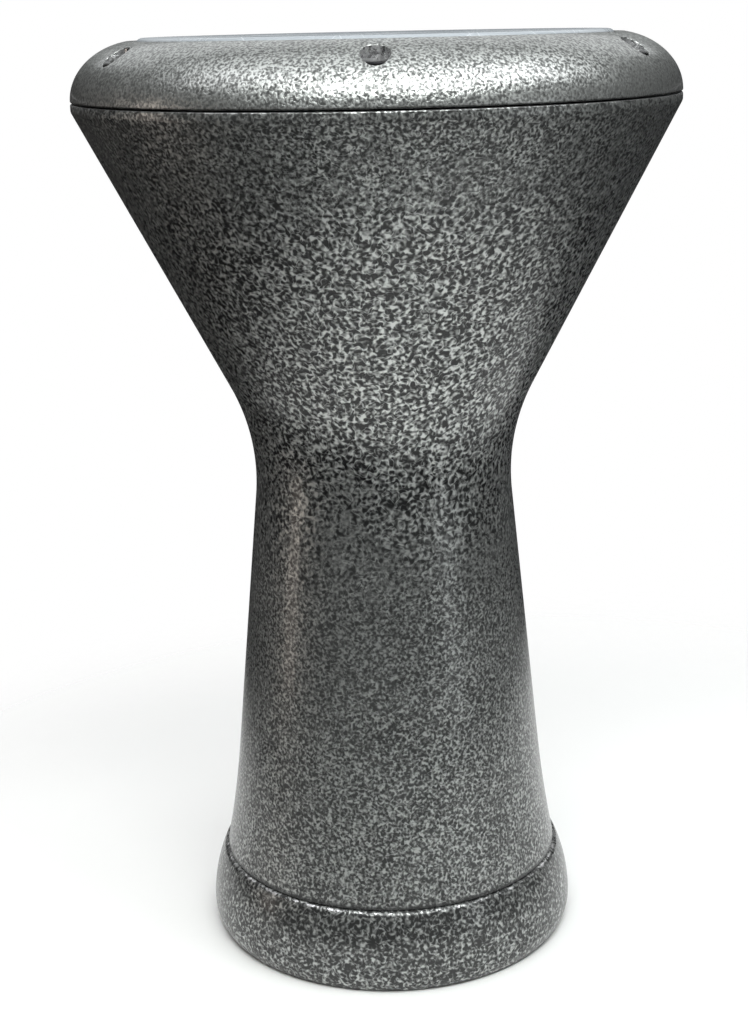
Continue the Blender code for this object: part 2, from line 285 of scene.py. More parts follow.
def add_node(tree, kind, inputs, **settings):
    """Adds a shader node, sets its properties, and fills or links its inputs by name or number."""
    made = tree.nodes.new("ShaderNode" + kind)
    for name, value in settings.items():
        setattr(made, name, value)
    for key, value in inputs.items():
        if isinstance(value, bpy.types.NodeSocket):
            tree.links.new(value, made.inputs[key])
        else:
            made.inputs[key].default_value = value
    return made.outputs


def maths(tree, operation, *values):
    """A number worked out from others."""
    return add_node(tree, "Math", dict(enumerate(values)), operation=operation)[0]


def spread(tree, mask, low, high, start=0.0, end=1.0, soft=False):
    """A mask stretched from start and end to a low and a high value, evenly or with a soft rise."""
    limits = {"Value": mask, "From Min": start, "From Max": end, "To Min": low, "To Max": high}
    return add_node(tree, "MapRange", limits, interpolation_type="SMOOTHSTEP" if soft else "LINEAR")[0]


def noise(tree, place, scale, detail=2.0, roughness=0.5, **more):
    """A cloudy pattern with so many cells to a metre."""
    inputs = {"Vector": place, "Scale": scale, "Detail": detail, "Roughness": roughness, **more}
    return add_node(tree, "TexNoise", inputs)[0]


def from_axis(tree, place):
    """How far a place is from the drum's axis, and its height."""
    x, y, z = add_node(tree, "SeparateXYZ", {0: place})
    flat = add_node(tree, "CombineXYZ", {0: x, 1: y})[0]
    return add_node(tree, "VectorMath", {0: flat}, operation="LENGTH")[1], z


def two_colours(tree, mask, first, second):
    """A colour between two, by a mask; either may be a colour or come from another node."""
    sides = [c if isinstance(c, bpy.types.NodeSocket) else (*c, 1) for c in (first, second)]
    return add_node(tree, "Mix", {0: mask, 6: sides[0], 7: sides[1]}, data_type="RGBA")[2]


def new_group(name, inputs, outputs):
    """A shader node group with named sockets, as its tree, its entry's outputs and its exit's inputs."""
    group = bpy.data.node_groups.new(name, "ShaderNodeTree")
    for socket, kind in inputs.items():
        group.interface.new_socket(socket, in_out="INPUT", socket_type="NodeSocket" + kind)
    for socket in outputs:
        group.interface.new_socket(socket, in_out="OUTPUT", socket_type="NodeSocketFloat")
    return group, group.nodes.new("NodeGroupInput").outputs, group.nodes.new("NodeGroupOutput").inputs


def place_group(tree, group, **inputs):
    """Places a node group in a material, with its own values, and returns its outputs."""
    named = {name.replace("_", " "): value for name, value in inputs.items()}
    return add_node(tree, "Group", named, node_tree=group)


def new_material(name):
    """A new material, its tree, its Principled shader's inputs and the piece's Object coordinates."""
    material = bpy.data.materials.new(name)
    material.use_nodes = True
    tree = material.node_tree
    place = tree.nodes.new("ShaderNodeTexCoord").outputs["Object"]
    return material, tree, tree.nodes["Principled BSDF"].inputs, place


# Silver-vein paint: aluminium flake gathers in short raised worms on a black ground as it dries.
# A ridge winds through each worm, and where the coat is thin the worms are finer and more even.
curl_share = 0.6
ridge_reach = 0.12
ridge_weight = 0.24
patch_scale = 115.0
patch_weight = 0.06
flake_range = 0.5
flake_curve = 1.9
usual_worms = 0.64
flake_evenness = 0.2
grain_scale = 5000.0
grain_weight = 0.05
silver_vein, vein_in, vein_out = new_group(
    "silver_vein",
    {"Place": "Vector", "Veins": "Float", "Fine veins": "Float", "Fineness": "Float", "Ground": "Float"},
    ["Silver", "Height"],
)


def worm_field(veins):
    """Thin winding ridges laid over a cloudy pattern, with so many veins to a metre."""
    fewer = maths(silver_vein, "MULTIPLY", veins, curl_share)
    curls = noise(silver_vein, vein_in["Place"], fewer, 0.0, Distortion=0.6)
    from_ridge = maths(silver_vein, "ABSOLUTE", maths(silver_vein, "SUBTRACT", curls, 0.5))
    ridge = spread(silver_vein, from_ridge, 1.0, 0.0, 0.0, ridge_reach, soft=True)
    clots = noise(silver_vein, vein_in["Place"], veins, 0.0, Distortion=0.3)
    return maths(silver_vein, "MULTIPLY_ADD", ridge, ridge_weight, clots)


coarse = worm_field(vein_in["Veins"])
fine = worm_field(vein_in["Fine veins"])
patches = noise(silver_vein, vein_in["Place"], patch_scale)
size_border = maths(silver_vein, "ADD", vein_in["Fineness"], patches)
is_fine = spread(silver_vein, size_border, 0.0, 1.0, 0.8, 1.2)
finer_by = maths(silver_vein, "SUBTRACT", fine, coarse)
worms = maths(silver_vein, "MULTIPLY_ADD", finer_by, is_fine, coarse)
uneven = maths(silver_vein, "MULTIPLY_ADD", patches, patch_weight, worms)
raised = maths(silver_vein, "SUBTRACT", uneven, vein_in["Ground"])
flake_level = spread(silver_vein, raised, 0.0, 1.0, 0.0, flake_range)
flake = maths(silver_vein, "POWER", flake_level, flake_curve)
usual_level = spread(silver_vein, vein_in["Ground"], 1.0, 0.0, usual_worms - flake_range, usual_worms)
usual_flake = maths(silver_vein, "POWER", usual_level, flake_curve)
evenness = maths(silver_vein, "MULTIPLY", vein_in["Fineness"], flake_evenness)
from_even = maths(silver_vein, "SUBTRACT", usual_flake, flake)
evened = maths(silver_vein, "MULTIPLY_ADD", from_even, evenness, flake)
silver_vein.links.new(evened, vein_out["Silver"])
flake_grain = noise(silver_vein, vein_in["Place"], grain_scale)
grainy = maths(silver_vein, "MULTIPLY_ADD", flake_grain, grain_weight, raised)
silver_vein.links.new(grainy, vein_out["Height"])

# Smudges: broad soft patches where hands and cloths have dulled a surface.
smudge, smudge_in, smudge_out = new_group("smudge", {"Place": "Vector", "Patches": "Float"}, ["Dull"])
smears = noise(smudge, smudge_in["Place"], smudge_in["Patches"], 5.0, 0.6)
smudge.links.new(spread(smudge, smears, 0.0, 1.0, 0.42, 0.72, soft=True), smudge_out["Dull"])

# Round edges: paint rubbed through in spots along an edge round the drum, and a painted shade line along a
# joint between parts there.
round_edge, edge_in, edge_out = new_group(
    "round_edge",
    {"Place": "Vector", "Radius": "Float", "Height": "Float", "Reach": "Float"},
    ["Rubbed", "Painted shade"],
)
rub_scale = 240.0
rub_fade = 0.25
shade_break = 0.6
place_radius, place_height = from_axis(round_edge, edge_in["Place"])
edge_out_by = maths(round_edge, "SUBTRACT", place_radius, edge_in["Radius"])
edge_up_by = maths(round_edge, "SUBTRACT", place_height, edge_in["Height"])
edge_offset = add_node(round_edge, "CombineXYZ", {0: edge_out_by, 1: edge_up_by})[0]
edge_away = add_node(round_edge, "VectorMath", {0: edge_offset}, operation="LENGTH")[1]
edge_share = maths(round_edge, "DIVIDE", edge_away, edge_in["Reach"])
rubbing = noise(round_edge, edge_in["Place"], rub_scale, 5.0, 0.65)
rubbed_level = maths(round_edge, "MULTIPLY_ADD", edge_share, -rub_fade, rubbing)
round_edge.links.new(spread(round_edge, rubbed_level, 0.0, 1.0, 0.50, 0.58, soft=True), edge_out["Rubbed"])
# Painted shade: near the edge, broken up by the same noise, the second output darkens the paint in place of
# the shadow in a seam between parts.
shade_share = maths(round_edge, "MULTIPLY_ADD", rubbing, -shade_break, edge_share)
round_edge.links.new(spread(round_edge, shade_share, 1.0, 0.0, 0.0, 0.7, soft=True), edge_out["Painted shade"])

# Turning marks: fine rings left by a lathe tool round the drum's axis.
turning, turning_in, turning_out = new_group(
    "turning_marks", {"Place": "Vector", "Rings": "Float"}, ["Groove"]
)
turned_radius, turned_height = from_axis(turning, turning_in["Place"])
ring_place = add_node(turning, "CombineXYZ", {0: turned_radius, 2: turned_height})[0]
turning.links.new(noise(turning, ring_place, turning_in["Rings"], 3.0, 0.7), turning_out["Groove"])


band_fade = 0.06


def vein_paint(name, veins, fine_veins, coarse_band, ground, worn_edge, shaded_edge):
    """Silver-vein paint with so many veins to a metre, finer outside a band of heights, on a black ground.

    An edge is given by its radius, its height and how far from it the paint is worn, or darkened as painted
    shade along a seam.
    """
    material, tree, shader, place = new_material(name)
    height = add_node(tree, "SeparateXYZ", {0: place})[2]
    band_low, band_high = coarse_band
    below_band = spread(tree, height, 1.0, 0.0, band_low - band_fade, band_low + band_fade, soft=True)
    above_band = spread(tree, height, 0.0, 1.0, band_high - band_fade, band_high + band_fade, soft=True)
    fineness = maths(tree, "MAXIMUM", below_band, above_band)
    vein = place_group(
        tree, silver_vein, Place=place, Veins=veins, Fine_veins=fine_veins, Fineness=fineness, Ground=ground
    )
    dull = place_group(tree, smudge, Place=place, Patches=30.0)["Dull"]
    worn = dict(zip(("Radius", "Height", "Reach"), worn_edge))
    shaded = dict(zip(("Radius", "Height", "Reach"), shaded_edge))
    rubbed = place_group(tree, round_edge, Place=place, **worn)["Rubbed"]
    darkening = place_group(tree, round_edge, Place=place, **shaded)["Painted shade"]
    # Painted shade: along the shaded edge the silver flake drops to a tenth, a dark line in place of the
    # shadow in the seam.
    unshaded = spread(tree, darkening, 1.0, 0.1)
    silver = maths(tree, "MULTIPLY", vein["Silver"], unshaded)
    paint = two_colours(tree, silver, (0.005, 0.005, 0.0055), (0.62, 0.635, 0.62))
    tree.links.new(two_colours(tree, rubbed, paint, (0.74, 0.74, 0.75)), shader["Base Color"])
    bright_flake = spread(tree, silver, 0.0, 0.88, 0.0, 0.6)
    tree.links.new(maths(tree, "MAXIMUM", bright_flake, rubbed), shader["Metallic"])
    gloss = spread(tree, silver, 0.24, 0.38, 0.0, 0.5)
    tree.links.new(maths(tree, "MULTIPLY_ADD", dull, 0.08, gloss), shader["Roughness"])
    relief = add_node(tree, "Bump", {"Strength": 0.4, "Distance": 0.0003, "Height": vein["Height"]})
    tree.links.new(relief[0], shader["Normal"])
    shader["Specular IOR Level"].default_value = 0.25
    shader["Coat Weight"].default_value = 0.3
    shader["Coat Roughness"].default_value = 0.06
    return material


def raw_casting(name):
    """Aluminium as it leaves the mould: dull grey, pitted and unevenly oxidised."""
    material, tree, shader, place = new_material(name)
    grain = noise(tree, place, 900.0, 4.0, 0.6)
    oxide = noise(tree, place, 45.0, 4.0)
    tree.links.new(two_colours(tree, oxide, (0.24, 0.24, 0.24), (0.46, 0.46, 0.45)), shader["Base Color"])
    tree.links.new(spread(tree, grain, 0.45, 0.75), shader["Roughness"])
    relief = add_node(tree, "Bump", {"Strength": 0.5, "Distance": 0.0003, "Height": grain})
    tree.links.new(relief[0], shader["Normal"])
    shader["Metallic"].default_value = 0.8
    return material


def turned_aluminium(name, rings):
    """Bright bare aluminium with the rings of a lathe tool and a few dull patches."""
    material, tree, shader, place = new_material(name)
    marks = place_group(tree, turning, Place=place, Rings=rings)["Groove"]
    dull = place_group(tree, smudge, Place=place, Patches=60.0)["Dull"]
    tree.links.new(two_colours(tree, dull, (0.72, 0.72, 0.73), (0.50, 0.50, 0.49)), shader["Base Color"])
    tree.links.new(spread(tree, marks, 0.2, 0.45), shader["Roughness"])
    relief = add_node(tree, "Bump", {"Strength": 0.25, "Distance": 0.0001, "Height": marks})
    tree.links.new(relief[0], shader["Normal"])
    shader["Metallic"].default_value = 1.0
    return material


face_slack = 0.0002
turned_rim = 0.001


def shell_finish(centre, normal):
    """Turned flange and bearing edge, painted outside, raw inside."""
    if centre.z > seam - face_slack or bolt_distance(centre) < hole_radius + turned_rim:
        return "turned"
    outside = normal.x * centre.x + normal.y * centre.y > 0
    return "paint" if outside and centre.z > tube_end_height - tube_end_edge else "raw"


shell_finishes = {
    "paint": vein_paint(
        "shell_vein_paint",
        veins=540.0,
        fine_veins=720.0,
        coarse_band=(throat_height - 0.05, seam - 0.03),
        ground=0.38,
        worn_edge=(rim_radius, seam, 0.0003),
        # Painted shade: a dark line where the tube's end meets the foot ring.
        shaded_edge=(tube_end_radius, tube_end_height, 0.003),
    ),
    "raw": raw_casting("shell_raw_casting"),
    "turned": turned_aluminium("shell_turned_aluminium", rings=2500.0),
}
finish_faces(shell, shell_finishes, shell_finish)
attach(shell, "drum")
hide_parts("shell")

# Foot ring: a bulged aluminium collar, cast and painted like the shell.
# Its bore slides over the spigot at the end of the tube, which stands on its inner ledge.
foot_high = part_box("foot_ring")[1]
foot_radius = foot_high.x
bulge_height = 0.0095
bulge_steps = 16
foot_shoulder = 0.0011
foot_crest = tube_end_radius + foot_shoulder
crest_round = 0.0035
foot_tuck = 0.003
tuck_steps = 8
base_round = 0.002
fit = 0.0003
foot_bore = spigot_radius + fit
foot_ledge = 0.006
ledge_width = 0.005
ledge_inner = foot_bore - ledge_width
bulge_shares = [1 - n / bulge_steps for n in range(1, bulge_steps + 1)]
bulge_width = foot_radius - foot_crest
bulge_rise = foot_high.z - bulge_height
tuck_shares = [n / tuck_steps for n in range(1, tuck_steps - 1)]
foot_ring = turn_piece(
    "foot_collar",
    [
        (foot_crest, foot_high.z, crest_round, 8),
        *((foot_radius - bulge_width * share**2, bulge_height + bulge_rise * share)
          for share in bulge_shares),
        *((foot_radius - foot_tuck * share**2, bulge_height * (1 - share)) for share in tuck_shares),
        (foot_radius - foot_tuck, 0, base_round, 8),
        (ledge_inner, 0, inner_edge, 4),
        (ledge_inner, foot_ledge, inner_edge, 4),
        (foot_bore, foot_ledge),
        (foot_bore, foot_high.z),
    ],
)
smooth(foot_ring)


def foot_finish(centre, normal):
    """Painted outside, raw in the bore and under the ledge."""
    return "paint" if centre.xy.length > foot_bore + face_slack else "raw"


foot_finishes = {
    "paint": vein_paint(
        "foot_vein_paint",
        veins=620.0,
        fine_veins=620.0,
        coarse_band=(throat_height, seam),
        ground=0.44,
        worn_edge=(foot_crest - 0.0004, foot_high.z - 0.0006, 0.0022),
        # Painted shade: a dark line in the crease where the foot's crest meets the tube.
        shaded_edge=(foot_crest - crest_round, foot_high.z, 0.001),
    ),
    "raw": raw_casting("foot_raw_casting"),
}
finish_faces(foot_ring, foot_finishes, foot_finish)
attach(foot_ring, "drum")
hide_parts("foot_ring")

# Head film: milky polyester, stretched flat over the bearing edge and down its outside.
# Its tail flares into the hoop's channel, where the resin holds it.
film_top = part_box("head_film")[1].z
film = 0.0005
film_middle = 0.050
hoop_low, hoop_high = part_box("head_hoop")
hoop_inner = 0.1092
hoop_outer = hoop_high.x
hoop_wall = 0.001
tail_inner = hoop_inner + hoop_wall + fit
tail_end = hoop_low.z + hoop_wall + fit
tail_flare = 0.005
tail_bend = 0.002
flare_top = hoop_high.z + 0.0035
flare_bottom = flare_top - tail_flare
collar = bearing_outer + fit
crown_bend = bearing_round + fit
before_bend = collar - crown_bend - film
head_film = turn_piece(
    "film_head",
    [
        (0, film_top),
        (film_middle, film_top),
        (before_bend, film_top),
        (collar + film, film_top, crown_bend + film, 10),
        (collar + film, flare_top, tail_bend, 4),
        (tail_inner + film, flare_bottom, tail_bend, 4),
        (tail_inner + film, tail_end),
        (tail_inner, tail_end),
        (tail_inner, flare_bottom, tail_bend, 4),
        (collar, flare_top, tail_bend, 4),
        (collar, film_top - film, crown_bend, 10),
        (before_bend, film_top - film),
        (film_middle, film_top - film),
        (0, film_top - film),
    ],
)
smooth(head_film)
milky, milky_tree, milky_shader, milky_place = new_material("milky_polyester")
milky_dull = place_group(milky_tree, smudge, Place=milky_place, Patches=14.0)["Dull"]
film_radius = from_axis(milky_tree, milky_place)[0]
metal_from = bearing_inner - 0.0006
metal_to = bearing_inner + 0.0008
on_metal = spread(milky_tree, film_radius, 0.0, 1.0, metal_from, metal_to, soft=True)
hairlines = []
for angle, across in ((0.3, 900.0), (1.2, 1100.0), (2.3, 1000.0)):
    turn = {"Vector": milky_place, "Angle": angle}
    turned_place = add_node(milky_tree, "VectorRotate", turn, rotation_type="Z_AXIS")[0]
    stretch = {0: turned_place, 1: (14.0, across, 1.0)}
    drawn_out = add_node(milky_tree, "VectorMath", stretch, operation="MULTIPLY")[0]
    streaks = noise(milky_tree, drawn_out, 1.0, 0.0)
    hairlines.append(spread(milky_tree, streaks, 0.0, 1.0, 0.74, 0.82))
two_ways = maths(milky_tree, "MAXIMUM", hairlines[0], hairlines[1])
scratches = maths(milky_tree, "MAXIMUM", two_ways, hairlines[2])
haze = noise(milky_tree, milky_place, 1500.0, 3.0)
scuffed = maths(milky_tree, "MULTIPLY_ADD", scratches, -0.4, haze)
milky_relief = add_node(milky_tree, "Bump", {"Strength": 0.1, "Distance": 0.0001, "Height": scuffed})
clean_film = two_colours(milky_tree, milky_dull, (0.55, 0.59, 0.63), (0.45, 0.47, 0.49))
backed_film = two_colours(milky_tree, on_metal, clean_film, (0.38, 0.41, 0.44))
faint_scratches = maths(milky_tree, "MULTIPLY", scratches, 0.2)
scratched_film = two_colours(milky_tree, faint_scratches, backed_film, (0.80, 0.81, 0.82))
milky_tree.links.new(scratched_film, milky_shader["Base Color"])
film_gloss = spread(milky_tree, milky_dull, 0.18, 0.38)
rough_film = maths(milky_tree, "MULTIPLY_ADD", scratches, 0.15, film_gloss)
milky_tree.links.new(rough_film, milky_shader["Roughness"])
milky_tree.links.new(milky_relief[0], milky_shader["Normal"])
head_film.data.materials.append(milky)
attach(head_film, "drum")
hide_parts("head_film")

# Head hoop: an aluminium channel rolled into a ring, open at the top.
# Its inner side is lower, which lets the film in.
hoop_drop = 0.0025
hoop_step = hoop_high.z - hoop_drop
sheet_edge = 0.0003
hoop_bend = 0.0006
channel_inner = hoop_inner + hoop_wall
channel_outer = hoop_outer - hoop_wall
channel_floor = hoop_low.z + hoop_wall
head_hoop = turn_piece(
    "channel_hoop",
    [
        (hoop_outer, hoop_high.z, sheet_edge, 3),
        (hoop_outer, hoop_low.z, hoop_bend, 3),
        (hoop_inner, hoop_low.z, hoop_bend, 3),
        (hoop_inner, hoop_step, sheet_edge, 3),
        (channel_inner, hoop_step, sheet_edge, 3),
        (channel_inner, channel_floor),
        (channel_outer, channel_floor),
        (channel_outer, hoop_high.z, sheet_edge, 3),
    ],
)
smooth(head_hoop)
head_hoop.data.materials.append(turned_aluminium("hoop_rolled_aluminium", rings=4000.0))
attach(head_hoop, "drum")
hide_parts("head_hoop")

# Resin: amber potting poured into the channel outside the film's tail.
# It locks the tail in the hoop, and has sunk a little between them as it set.
resin_top = hoop_high.z - 0.0006
sunk_width = 0.0012
sunk_depth = 0.0004
resin_inner = tail_inner + film + fit
resin_outer = channel_outer - fit
hoop_resin = turn_piece(
    "channel_resin",
    [
        (resin_outer, resin_top),
        (resin_outer, tail_end),
        (resin_inner, tail_end),
        (resin_inner, flare_bottom),
        (resin_inner + sunk_width, flare_bottom + sunk_depth),
        (resin_outer - sunk_width, resin_top - sunk_depth),
    ],
)
smooth(hoop_resin)
amber, amber_tree, amber_shader, amber_place = new_material("amber_resin")
clouds = noise(amber_tree, amber_place, 160.0, 3.0)
cloudy_amber = two_colours(amber_tree, clouds, (0.20, 0.12, 0.045), (0.46, 0.33, 0.16))
amber_tree.links.new(cloudy_amber, amber_shader["Base Color"])
amber_tree.links.new(spread(amber_tree, clouds, 0.15, 0.4), amber_shader["Roughness"])
hoop_resin.data.materials.append(amber)
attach(hoop_resin, "drum")
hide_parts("hoop_resin")

# Clamp ring: a hollow quarter-round aluminium casting, painted like the shell.
# Its lip bears on the hoop, and six columns inside it carry the bolts, counterbored from above.
ring_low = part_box("clamp_ring")[0].z
ring_wall = 0.0045
roll_width = 0.034
roll_rise = 0.0267
roll_centre = rim_radius - roll_width
lip_bore = 0.112
lip_seat = hoop_high.z + fit
lip_edge = 0.0012
ring_edge = 0.0006
seat_edge = 0.0004
seat_outer = hoop_outer + 0.0013
column_radius = 0.0077
column_bottom = ring_low + 0.0005
counterbore = 0.006
rim_round = 0.0004
washer_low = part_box("bolt_washer_1")[0].z
bolt_seat = washer_low - fit


def roll_outline(first, last, inset, steps):
    """Corners down the ring's quarter-round from one radius to another, or on one set in by a wall."""
    width = roll_width - inset
    begin = math.acos(max(0.0, min(1.0, (first - roll_centre) / width)))
    end = math.acos(max(0.0, min(1.0, (last - roll_centre) / width)))
    turns = [begin + (end - begin) * n / steps for n in range(steps + 1)]
    return [
        (roll_centre + width * math.cos(turn), ring_low + (roll_rise - inset) * math.sin(turn))
        for turn in turns
    ]


clamp_ring = turn_piece(
    "clamp_ring_casting",
    [
        (*roll_outline(lip_bore, rim_radius, 0, 1)[0], lip_edge, 6),
        *roll_outline(lip_bore + 2 * lip_edge, rim_radius, 0, 28)[:-1],
        (rim_radius, ring_low, ring_edge, 4),
        (rim_radius - ring_wall, ring_low, ring_edge, 4),
        *roll_outline(seat_outer, rim_radius - ring_wall, ring_wall, 16)[-2::-1],
        (seat_outer, lip_seat, seat_edge, 3),
        (lip_bore, lip_seat, seat_edge, 3),
    ],
    240,
)
columns = set_of_six(
    turn_piece(
        "column",
        [
            (0, film_top),
            (column_radius, film_top),
            (column_radius, column_bottom, ring_edge, 4),
            (0, column_bottom),
        ],
        48,
    )
)
roll_core = turn_piece(
    "roll_core",
    [
        (0, ring_low + roll_rise - ring_wall / 2),
        *roll_outline(roll_centre, rim_radius - ring_wall / 2, ring_wall / 2, 24),
        (rim_radius - ring_wall / 2, seam - wall),
        (0, seam - wall),
    ],
)
counterbores = set_of_six(
    turn_piece(
        "counterbore",
        [
            (0, film_top + counterbore),
            (counterbore, film_top + counterbore),
            (counterbore, bolt_seat, seat_edge, 3),
            (hole_radius, bolt_seat),
            (hole_radius, seam - wall),
            (0, seam - wall),
        ],
        64,
    )
)
combine(columns, "INTERSECT", roll_core)
combine(clamp_ring, "UNION", columns)
combine(clamp_ring, "DIFFERENCE", counterbores)


def roll_share(point):
    """How far out from the middle of the ring's quarter-round a point is: 1 on its outside."""
    return math.hypot((point.xy.length - roll_centre) / roll_width, (point.z - ring_low) / roll_rise)


def edit_points(piece, wanted):
    """Opens a piece in edit mode with only the points selected that a rule wants."""
    choose(piece)
    bpy.ops.object.mode_set(mode="EDIT")
    bpy.ops.mesh.select_mode(type="VERT")
    bpy.ops.mesh.select_all(action="DESELECT")
    bpy.ops.object.mode_set(mode="OBJECT")
    for point in piece.data.vertices:
        point.select = wanted(point.co)
    bpy.ops.object.mode_set(mode="EDIT")


def on_rim(point):
    """Whether a point lies on the rim of a counterbore."""
    return roll_share(point) > 0.99 and abs(bolt_distance(point) - counterbore) < 0.00005


edit_points(clamp_ring, on_rim)
bpy.ops.mesh.remove_doubles(threshold=0.00025)
bpy.ops.mesh.select_mode(type="EDGE")
bpy.ops.mesh.bevel(offset=rim_round, segments=3, affect="EDGES", clamp_overlap=False)
bpy.ops.object.mode_set(mode="OBJECT")
rim_faces = {tuple(face.center) for face in clamp_ring.data.polygons if face.select}
smooth(clamp_ring, 35)


depth_shade_fade = 0.0015


def drilled_aluminium(name, unshaded_above):
    """Bare drilled aluminium: bright above a height, dark in patches of stain, and painted near black below
    that height as shade deep in the counterbore.
    """
    material, tree, shader, place = new_material(name)
    height = add_node(tree, "SeparateXYZ", {0: place})[2]
    # Painted shade: below the given height the wall darkens to near black in place of the shade at the
    # bottom of the counterbore; the stains laid over it are real.
    painted_depth_shade = spread(tree, height, 1.0, 0.0, unshaded_above - depth_shade_fade, unshaded_above + depth_shade_fade, soft=True)
    stains = place_group(tree, smudge, Place=place, Patches=300.0)["Dull"]
    darkening = maths(tree, "MAXIMUM", painted_depth_shade, stains)
    tree.links.new(two_colours(tree, darkening, (0.66, 0.66, 0.67), (0.035, 0.034, 0.033)), shader["Base Color"])
    tree.links.new(spread(tree, darkening, 0.22, 0.5), shader["Roughness"])
    tree.links.new(spread(tree, darkening, 1.0, 0.3), shader["Metallic"])
    relief = add_node(tree, "Bump", {"Strength": 0.3, "Distance": 0.0002, "Height": stains})
    tree.links.new(relief[0], shader["Normal"])
    return material


def ring_finish(centre, normal):
    """Drilled counterbores, painted roll, rims and lip, raw inside the hollow."""
    if tuple(centre) not in rim_faces and bolt_distance(centre) < counterbore + face_slack:
        return "drilled"
    return "paint" if roll_share(centre) > 0.95 or centre.xy.length < lip_bore + 0.001 else "raw"


ring_finishes = {
    "paint": vein_paint(
        "ring_vein_paint",
        veins=850.0,
        fine_veins=850.0,
        coarse_band=(shell_low.z, tube_end_height),
        ground=0.26,
        worn_edge=(lip_bore, ring_low + roll_rise, 0.003),
        # Painted shade: a dark line along the ring's lower edge, in the seam above the shell's rim.
        shaded_edge=(rim_radius, ring_low, 0.001),
    ),
    "raw": raw_casting("ring_raw_casting"),
    # The counterbore walls carry painted shade below 18 mm above the ring's lowest point.
    "drilled": drilled_aluminium("ring_drilled_aluminium", unshaded_above=ring_low + 0.018),
}
finish_faces(clamp_ring, ring_finishes, ring_finish)
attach(clamp_ring, "ring")
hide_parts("clamp_ring")

# Washers: six plain zinc-plated steel washers, stamped, so one edge is rounded and one is sharp.
# One lies on each counterbore's floor, under its bolt's head.
washer_radius = 0.0055
washer_thickness = 0.0016
washer_high = washer_low + washer_thickness
stamped_edge = 0.0004
punched_edge = 0.0003
sharp_edge = 0.0001
washer = turn_piece(
    "washer",
    [
        (washer_radius, washer_high, stamped_edge, 4),
        (washer_radius, washer_low, sharp_edge, 2),
        (hole_radius, washer_low, sharp_edge, 2),
        (hole_radius, washer_high, punched_edge, 4),
    ],
    64,
)
smooth(washer)
zinc, zinc_tree, zinc_shader, zinc_place = new_material("zinc_plate")
zinc_dull = place_group(zinc_tree, smudge, Place=zinc_place, Patches=350.0)["Dull"]
spotted_zinc = two_colours(zinc_tree, zinc_dull, (0.56, 0.57, 0.59), (0.42, 0.40, 0.36))
zinc_tree.links.new(spotted_zinc, zinc_shader["Base Color"])
zinc_tree.links.new(spread(zinc_tree, zinc_dull, 0.25, 0.5), zinc_shader["Roughness"])
zinc_shader["Metallic"].default_value = 1.0
washer.data.materials.append(zinc)
for number, axis in enumerate(bolt_axes, 1):
    copy = copy_to_bolt(washer, f"steel_washer_{number}", axis)
    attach(copy, "ring")
    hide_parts(f"bolt_washer_{number}")
bpy.data.objects.remove(washer)

# Tuning bolts: six M6 x 25 socket cap screws in black-oxide steel, with knurled heads.
# They pass the ring's columns and screw into the shell's bosses; turning them sets the pitch.
bolt_low, bolt_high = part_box("tuning_bolt_1")
head_radius = 0.005
head_height = 0.006
head_low = bolt_high.z - head_height
head_chamfer = 0.0006
head_edge = 0.0003
thread_radius = 0.003
thread_root = 0.0024
thread_depth = thread_radius - thread_root
thread_pitch = 0.001
thread_flank = 0.40
thread_crest = 0.12
thread_groove = 0.08
thread_steps = 24
socket_across = 0.005
socket_depth = 0.003
knurls = 36
knurl_depth = 0.035
bolt = turn_piece(
    "bolt",
    [
        (0, bolt_high.z),
        (head_radius - head_chamfer, bolt_high.z, 0.0004, 3),
        (head_radius, bolt_high.z - head_chamfer, head_edge, 3),
        (head_radius, bolt_high.z - 2 * head_chamfer),
        (head_radius, head_low + 0.0008),
        (head_radius, head_low, head_edge, 3),
        (0, head_low),
    ],
    2 * knurls,
)


def in_groove(point):
    """Whether a point of the head's side lies in a groove of the knurling, which is every other one."""
    on_side = point.xy.length > head_radius * 0.99
    knurled = head_low + 0.0005 < point.z < bolt_high.z - 0.001
    step = round(math.atan2(point.y, point.x) / math.tau * 2 * knurls)
    return on_side and knurled and step % 2 == 1


edit_points(bolt, in_groove)
bpy.ops.transform.resize(value=(1 - knurl_depth, 1 - knurl_depth, 1), center_override=(0, 0, 0))
bpy.ops.object.mode_set(mode="OBJECT")
bpy.ops.object.select_all(action="DESELECT")
bpy.ops.mesh.primitive_cylinder_add(
    vertices=6,
    radius=socket_across / math.sqrt(3),
    depth=2 * socket_depth,
    location=(0, 0, bolt_high.z),
)
hex_socket = bpy.context.object
bpy.ops.object.transform_apply()
combine(bolt, "DIFFERENCE", hex_socket)
bpy.ops.object.select_all(action="DESELECT")
bpy.ops.mesh.primitive_plane_add(size=wall)
thread = bpy.context.object
thread_start = bolt_low.z - 2.5 * thread_pitch
bpy.ops.object.mode_set(mode="EDIT")
bpy.ops.mesh.merge(type="CENTER")
bpy.ops.transform.translate(value=(thread_root, 0, thread_start))
for outwards, up in ((1, thread_flank), (0, thread_crest), (-1, thread_flank), (0, thread_groove)):
    move = (outwards * thread_depth, 0, up * thread_pitch)
    bpy.ops.mesh.extrude_vertices_move(TRANSFORM_OT_translate={"value": move})
bpy.ops.object.mode_set(mode="OBJECT")
wind = thread.modifiers.new("wind", "SCREW")
wind.screw_offset = thread_pitch
wind.iterations = round((head_low - thread_start) / thread_pitch) + 2
wind.steps = thread_steps
wind.render_steps = thread_steps
bpy.ops.object.modifier_apply(modifier="wind")
bpy.ops.object.mode_set(mode="EDIT")
bpy.ops.mesh.select_all(action="SELECT")
bpy.ops.mesh.remove_doubles(threshold=weld)
below_tip = (0, 0, bolt_low.z - thread_pitch / 2)
inside_head = (0, 0, head_low + thread_pitch)
bpy.ops.mesh.select_all(action="SELECT")
